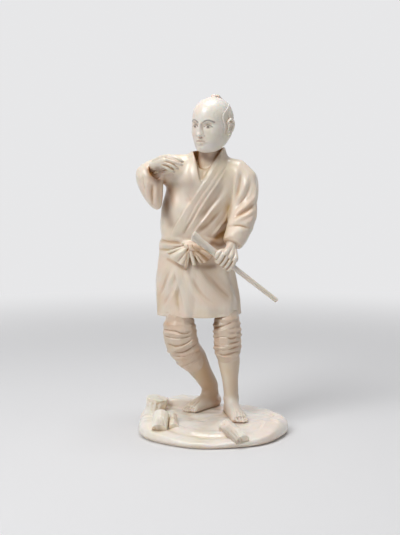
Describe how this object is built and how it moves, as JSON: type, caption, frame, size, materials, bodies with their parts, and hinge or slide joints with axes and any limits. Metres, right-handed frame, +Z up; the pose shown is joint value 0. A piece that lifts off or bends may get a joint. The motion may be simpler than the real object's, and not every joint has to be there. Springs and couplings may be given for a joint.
{
  "type": "carved standing figure",
  "caption": "Carved standing woodcutter in a short belted robe, holding a loose long-hafted hatchet in one fist, on an oval rocky ground with cut wood.",
  "frame": {"origin": "centre of the flat underside of the oval ground", "axes": "+Z up from the ground to the head; -Y is the front, where the robe's lapels cross; +X is the side of the hand that holds the hatchet"},
  "size_m": [0.1007, 0.086, 0.2219],
  "materials": {
    "carved_ivory": "satin",
    "white_ivory": "satin",
    "hand_ivory": "satin",
    "ground_ivory": "satin",
    "wood_cut_ivory": "satin",
    "tool_ivory": "satin",
    "peg_ivory": "satin"
  },
  "bodies": {
    "figure": {"base": "ground_ivory", "tree_stump": "wood_cut_ivory", "leaning_log": "wood_cut_ivory", "short_log": "wood_cut_ivory", "fallen_log": "wood_cut_ivory", "wood_pegs": "peg_ivory", "foot_pegs": "peg_ivory", "right_leg": "carved_ivory", "left_leg": "carved_ivory", "right_breeches": "carved_ivory", "left_breeches": "carved_ivory", "hip_pegs": "peg_ivory", "skirt": "carved_ivory", "waist_peg": "peg_ivory", "torso": "carved_ivory", "bow_peg": "peg_ivory", "sash_bow": "carved_ivory", "shoulder_pegs": "peg_ivory", "right_sleeve": "carved_ivory", "left_sleeve": "carved_ivory", "wrist_pegs": "peg_ivory", "right_hand": "hand_ivory", "left_hand": "hand_ivory", "neck_peg": "peg_ivory", "head": "white_ivory"},
    "hatchet": {"hatchet_haft": "tool_ivory", "hatchet_head": "tool_ivory"}
  },
  "joints": [
    {"name": "hatchet_slide", "type": "slide", "parent": "figure", "child": "hatchet", "axis": [-0.7693, -0.1845, 0.6117], "range_m": [0, 0.034]}
  ]
}
